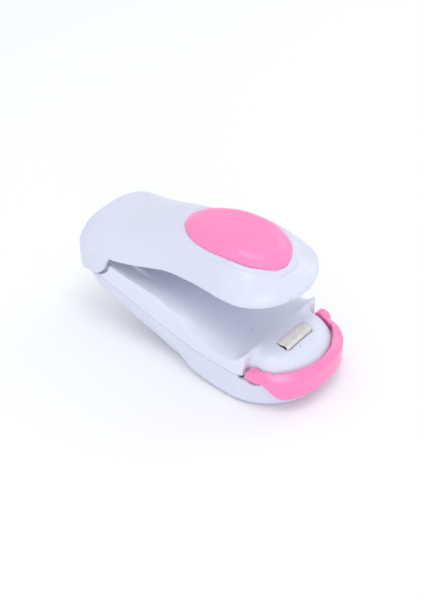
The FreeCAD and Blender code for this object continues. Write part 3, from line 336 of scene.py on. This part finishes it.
def floor_card():
    material, n, shade = finish_nodes("floor_card", {"Specular IOR Level": 0.1})
    place = n.add("ShaderNodeTexCoord").outputs["Object"]
    tone = n.blend(n.noise(place, 900.0, 3.0), (0.93, 0.93, 0.94, 1), (0.96, 0.96, 0.965, 1))
    connect(n, tone, shade["Base Color"])
    connect(n, n.spread(n.noise(place, 300.0), 0.3, 0.7, 0.75, 0.9), shade["Roughness"])
    # seen from below the card is clear, so the underside of the object can be looked at
    clear = n.add("ShaderNodeBsdfTransparent").outputs[0]
    top = material.node_tree.nodes["Principled BSDF"].outputs[0]
    below = n.add("ShaderNodeNewGeometry").outputs["Backfacing"]
    shown = n.add("ShaderNodeMixShader", {0: below, 1: top, 2: clear}).outputs[0]
    connect(n, shown, material.node_tree.nodes["Material Output"].inputs["Surface"])
    return material


GLOSS = {"Specular IOR Level": 0.5, "Coat Weight": 0.25, "Coat Roughness": 0.12}
SATIN = {"Specular IOR Level": 0.45, "Subsurface Weight": 0.12, "Subsurface Radius": (0.9, 0.9, 1.0),
         "Subsurface Scale": 0.0012, "Coat Weight": 0.2, "Coat Roughness": 0.18}
SPECKED = {"specks": (0.30, 0.26, 0.24, 1)}
# colour, its drift, least and most roughness, shader, and what differs from the usual grain
PLASTICS = {
    "white_plastic": ((0.678, 0.701, 0.808), (0.656, 0.680, 0.795), 0.26, 0.36, SATIN, SPECKED),
    # the deck's colour is the white plastic painted lighter, as painted fill light in the shaded trough under
    # the lever; the real deck is the same white plastic
    "deck_plastic_painted_lighter": ((0.722, 0.744, 0.850), (0.702, 0.725, 0.838), 0.26, 0.36, SATIN, SPECKED),
    "pink_pad": ((0.965, 0.250, 0.505), (0.955, 0.235, 0.485), 0.28, 0.38, SATIN, {}),
    "pink_bail": ((0.975, 0.235, 0.500), (0.955, 0.215, 0.470), 0.18, 0.28, GLOSS, {}),
    "black_plastic": ((0.022, 0.022, 0.024), (0.032, 0.032, 0.034), 0.40, 0.55, {}, {"depth": 0.00002}),
    "ceramic": ((0.72, 0.69, 0.63), (0.62, 0.58, 0.52), 0.55, 0.75, {}, {"grain": 3500.0, "depth": 0.00003}),
    "silicone": ((0.42, 0.085, 0.055), (0.36, 0.070, 0.045), 0.45, 0.60, {},
                 {"grain": 2600.0, "depth": 0.00002}),
    "red_wire": ((0.52, 0.020, 0.018), (0.44, 0.016, 0.014), 0.32, 0.45, {}, {}),
    "black_wire": ((0.018, 0.018, 0.020), (0.028, 0.028, 0.030), 0.32, 0.45, {}, {}),
}
# colour, its drift, how far the drawn lines stretch along each axis, least and most roughness
METALS = {
    "steel": ((0.56, 0.57, 0.58), (0.48, 0.48, 0.49), (4000.0, 60.0, 4000.0), 0.20, 0.38),
    "nickel": ((0.66, 0.63, 0.57), (0.58, 0.55, 0.50), (4000.0, 4000.0, 80.0), 0.16, 0.34),
    "heating_alloy": ((0.45, 0.42, 0.38), (0.26, 0.20, 0.17), (3000.0, 60.0, 3000.0), 0.28, 0.50),
}


def make_finishes():
    GROUPS["moulded_surface"] = moulded_surface_group()
    GROUPS["dust_specks"] = specks_group()
    GROUPS["drawn_lines"] = drawn_lines_group()
    GROUPS["plain_weave"] = weave_group()
    made = {}
    for name, (colour, drift, low, high, shader, grain) in PLASTICS.items():
        made[name] = plastic(name, (*colour, 1), (*drift, 1), low, high, shader, **grain)
    for name, (colour, drift, stretch, low, high) in METALS.items():
        made[name] = metal(name, (*colour, 1), (*drift, 1), stretch, low, high)
    made["glass_cloth"] = woven_glass()
    made["floor_card"] = floor_card()
    return made


# ---------------------------------------------------------------- pieces

def deselect_all():
    if bpy.context.object and bpy.context.object.mode != "OBJECT":
        bpy.ops.object.mode_set(mode="OBJECT")
    bpy.ops.object.select_all(action="DESELECT")


def work_on(piece):
    deselect_all()
    piece.select_set(True)
    bpy.context.view_layer.objects.active = piece


def paint(piece, *materials):
    piece.data.materials.clear()
    for material in materials:
        piece.data.materials.append(material)


def apply_modifier(piece, kind, **settings):
    work_on(piece)
    modifier = piece.modifiers.new(kind.lower(), kind)
    for key, value in settings.items():
        setattr(modifier, key, value)
    bpy.ops.object.modifier_apply(modifier=modifier.name)


def merged_copy(node, name):
    """A copy of a part's mesh with its loose triangles joined into one skin."""
    piece = bpy.data.objects.new(name, frame["nodes"][node].data.copy())
    bpy.context.scene.collection.objects.link(piece)
    work_on(piece)
    bpy.ops.object.mode_set(mode="EDIT")
    bpy.ops.mesh.select_all(action="SELECT")
    bpy.ops.mesh.remove_doubles(threshold=MERGE_DISTANCE)
    bpy.ops.object.mode_set(mode="OBJECT")
    if piece.data.has_custom_normals:
        bpy.ops.mesh.customdata_custom_splitnormals_clear()
    return piece


def seat(piece, body, slot, *nodes):
    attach(piece, body)
    if nodes:
        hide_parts(*nodes)


def ease_region(piece, centre, reach, passes):
    """Rounds the edges of one region more than the rest, fading out at its border."""
    region = piece.vertex_groups.new(name="eased")
    for vertex in piece.data.vertices:
        offset = max(abs((vertex.co[k] - centre[k]) / reach[k]) for k in range(3))
        if offset < 1.0:
            region.add([vertex.index], min(1.0, 2.5 * (1.0 - offset)), "REPLACE")
    apply_modifier(piece, "SMOOTH", factor=0.5, iterations=passes, vertex_group="eased")
    piece.vertex_groups.clear()


def soft_moulding(node, name, grid, passes, slot, material, eased=()):
    """A moulded part with the small radii that its tool leaves on every edge."""
    piece = merged_copy(node, name)
    apply_modifier(piece, "REMESH", mode="VOXEL", voxel_size=grid, adaptivity=0.0)
    apply_modifier(piece, "SMOOTH", factor=0.5, iterations=passes)
    for centre, reach, more in eased:
        ease_region(piece, centre, reach, more)
    bpy.ops.object.shade_smooth()
    paint(piece, material)
    seat(piece, BODY[node], slot, node)
    return piece


# grid of the skin and passes of easing, for the large shells, the thumb pad and the bail
SHELL_GRID, SHELL_PASSES = 0.36 * MM, 3
PAD_GRID, PAD_PASSES = 0.28 * MM, 5
BAIL_GRID, BAIL_PASSES = 0.25 * MM, 4
# the deck's two front shoulders and the seam between them: place, half size and passes
SHOULDER_OFFSET, SHOULDER_HEIGHT = 18.0 * MM, 16.5 * MM
SHOULDER_REACH, SHOULDER_PASSES = (5.5 * MM, 6.0 * MM, 5.5 * MM), 34
SEAM_HEIGHT = 18.0 * MM
SEAM_REACH, SEAM_PASSES = (4.5 * MM, 17.0 * MM, 2.6 * MM), 60
EASED_BEHIND_BAIL = 0.5 * MM


def make_mouldings():
    # the deck takes the lighter painted copy of the white plastic, which stands in for fill light in its
    # shaded trough
    white, deck = FINISH["white_plastic"], FINISH["deck_plastic_painted_lighter"]
    eased_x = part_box("lock_bail")[0].x - EASED_BEHIND_BAIL
    eased = [(Vector((eased_x, side * SHOULDER_OFFSET, SHOULDER_HEIGHT)), SHOULDER_REACH, SHOULDER_PASSES)
             for side in (-1, 1)]
    eased.append((Vector((eased_x, 0.0, SEAM_HEIGHT)), SEAM_REACH, SEAM_PASSES))
    for node, name, tone, regions in (("lever_shell", "lever_moulding", white, ()),
                                      ("base_deck", "deck_moulding", deck, eased),
                                      ("base_tub", "tub_moulding", white, ()),
                                      ("battery_cover", "cover_moulding", white, ())):
        soft_moulding(node, name, SHELL_GRID, SHELL_PASSES, "white_plastic", tone, regions)
    soft_moulding("thumb_pad", "thumb_pad_moulding", PAD_GRID, PAD_PASSES, "pink_plastic", FINISH["pink_pad"])
    soft_moulding("lock_bail", "bail_moulding", BAIL_GRID, BAIL_PASSES, "pink_plastic", FINISH["pink_bail"])


SPRING_WIRE, SPRING_TURNS = 0.35 * MM, 5
WIRE_SIDES, TURN_STEPS = 12, 28


def make_spring():
    """Compression spring between deck and lever, closed by the lever's stroke."""
    low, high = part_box("return_spring")
    radius = (high.x - low.x) / 2 - SPRING_WIRE
    centre = (low + high) / 2
    rise = high.z - low.z - 2 * SPRING_WIRE
    deselect_all()
    bpy.ops.mesh.primitive_circle_add(vertices=WIRE_SIDES, radius=SPRING_WIRE, rotation=(math.pi / 2, 0, 0))
    spring = bpy.context.active_object
    spring.name = "return_spring_coil"
    bpy.ops.object.transform_apply(location=True, rotation=True, scale=True)
    bpy.ops.object.mode_set(mode="EDIT")
    bpy.ops.mesh.select_all(action="SELECT")
    bpy.ops.transform.translate(value=(radius, 0, 0))
    bpy.ops.object.mode_set(mode="OBJECT")
    apply_modifier(spring, "SCREW", angle=2 * math.pi, iterations=SPRING_TURNS,
                   screw_offset=rise / SPRING_TURNS, steps=TURN_STEPS, render_steps=TURN_STEPS,
                   use_merge_vertices=False, use_smooth_shade=True)
    bpy.ops.object.mode_set(mode="EDIT")
    bpy.ops.mesh.select_all(action="SELECT")
    bpy.ops.mesh.fill_holes(sides=WIRE_SIDES)
    bpy.ops.mesh.normals_make_consistent(inside=False)
    bpy.ops.transform.translate(value=(centre.x, centre.y, low.z + SPRING_WIRE))
    bpy.ops.object.mode_set(mode="OBJECT")
    paint(spring, FINISH["steel"])
    seat(spring, BODY["return_spring"], "steel", "return_spring")
    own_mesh(spring)


CLOTH_ROWS, CLOTH_COLUMNS = 60, 44
CLOTH_THICKNESS, CLOTH_BELOW_BOX = 0.20 * MM, 0.22 * MM
# how the cloth lies across the bar: behind and ahead of the bar's middle, above its top, in mm
CLOTH_SECTION = [(-1.78, -3.1), (-1.80, -1.6), (-2.25, -0.75), (-2.50, -0.42), (-2.20, -0.10), (-1.55, 0.14),
                 (-1.05, 0.22), (-0.60, 0.20), (0.00, 0.17), (0.80, 0.14), (1.35, 0.10), (1.72, -0.06),
                 (1.88, -0.45), (1.90, -1.2), (1.84, -2.1), (1.80, -3.1)]
# the rest of the cloth's shape, in mm where it is a length
TOP_FROM = -1.0                                        # what lies higher than this is on the bar
FRAY_SEED, FRAY_DEPTH, FRAY_WAVE, FRAY_STEP = 7, 0.45, 0.18, 0.55
FAR_FROM, FAR_INSET, FAR_SPREAD, FAR_DROP = 0.72, 0.10, 0.55, 0.40
RIPPLE, RIPPLES_ALONG, RIPPLES_ACROSS = 0.03, 23, 2.1
DIP_SHARE, DIP_DEPTH = 0.055, 0.45                     # the near end turns down


def run_along(points, share):
    """Point at a share of a line's length."""
    steps = [math.dist(points[i], points[i + 1]) for i in range(len(points) - 1)]
    left = share * sum(steps)
    for i, step in enumerate(steps):
        if left <= step or i == len(steps) - 1:
            t = min(1.0, left / step)
            return [points[i][k] + t * (points[i + 1][k] - points[i][k]) for k in (0, 1)]
        left -= step


def make_cloth():
    """Glass cloth draped over the heater bar, its near end cut ragged."""
    low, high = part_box("heater_cloth")
    middle, top = (high.x + low.x) / 2, high.z - CLOTH_BELOW_BOX - CLOTH_THICKNESS / 2
    random.seed(FRAY_SEED)
    frays = [random.uniform(0.0, 1.0) for _ in range(CLOTH_COLUMNS + 1)]
    deselect_all()
    bpy.ops.mesh.primitive_grid_add(x_subdivisions=CLOTH_COLUMNS, y_subdivisions=CLOTH_ROWS, size=1.0,
                                    calc_uvs=True)
    cloth = bpy.context.active_object
    cloth.name = "heater_cloth_drape"
    for vertex in cloth.data.vertices:
        across, along = vertex.co.x + 0.5, vertex.co.y + 0.5
        column = round(across * CLOTH_COLUMNS)
        x, z = run_along(CLOTH_SECTION, across)
        ragged = 0.5 * frays[column] + 0.5 * frays[max(0, column - 1)]
        start = low.y + (FRAY_DEPTH * (ragged - 1) + FRAY_WAVE * math.sin(column * FRAY_STEP)) * MM
        finish = high.y - FAR_INSET * MM
        y = start + along * (finish - start)
        far = max(0.0, (along - FAR_FROM) / (1 - FAR_FROM))
        ease = far * far * (3 - 2 * far)
        if z > TOP_FROM:
            x += FAR_SPREAD * ease * (1 if x < 0.3 else -0.4)
            z -= FAR_DROP * ease * max(0.0, 1 - abs(x) / 3) if x < -0.9 else 0.0
            z += RIPPLE * math.sin(along * RIPPLES_ALONG + x * RIPPLES_ACROSS) * (1 - ease)
        dip = max(0.0, 1 - along / DIP_SHARE)
        z -= DIP_DEPTH * dip * dip if z > TOP_FROM else 0.0
        vertex.co = Vector((middle + x * MM, y, top + z * MM))
    work_on(cloth)
    bpy.ops.object.mode_set(mode="EDIT")
    bpy.ops.mesh.select_all(action="SELECT")
    bpy.ops.mesh.normals_make_consistent(inside=False)
    bpy.ops.object.mode_set(mode="OBJECT")
    apply_modifier(cloth, "SOLIDIFY", thickness=CLOTH_THICKNESS, offset=0.0)
    bpy.ops.object.shade_smooth()
    paint(cloth, FINISH["glass_cloth"])
    seat(cloth, BODY["heater_cloth"], "glass_cloth", "heater_cloth")


CAD_FINISH = {
    "heater_block": "ceramic", "heater_ribbon": "heating_alloy",
    "heater_terminal_left": "nickel", "heater_terminal_right": "nickel",
    "positive_plate": "nickel", "negative_plate": "nickel", "bridge_contact": "nickel",
    "front_contact_coil": "nickel", "rear_contact_coil": "nickel",
    "switch_leaf_lower": "nickel", "switch_leaf_upper": "nickel",
    "switch_spacer": "black_plastic", "switch_plunger": "black_plastic",
    "case_screws": "steel", "liner_screws": "steel", "hinge_pin": "steel",
    "press_pad": "silicone", "press_carrier": "black_plastic",
    "wire_battery_heater": "red_wire", "wire_switch_heater": "black_wire", "wire_battery_switch": "red_wire",
}


def dress_parts():
    for node, finish in CAD_FINISH.items():
        paint(frame["nodes"][node], FINISH[finish])
    for node in ("battery_left", "battery_right"):
        low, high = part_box(node)
        centre = (low + high) / 2
        paint(frame["nodes"][node], cell_wrap(node + "_wrap", CELL_TILT, tuple(centre)))


FINISH = make_finishes()
place_camera()
set_studio()
make_mouldings()
make_spring()
make_cloth()
dress_parts()
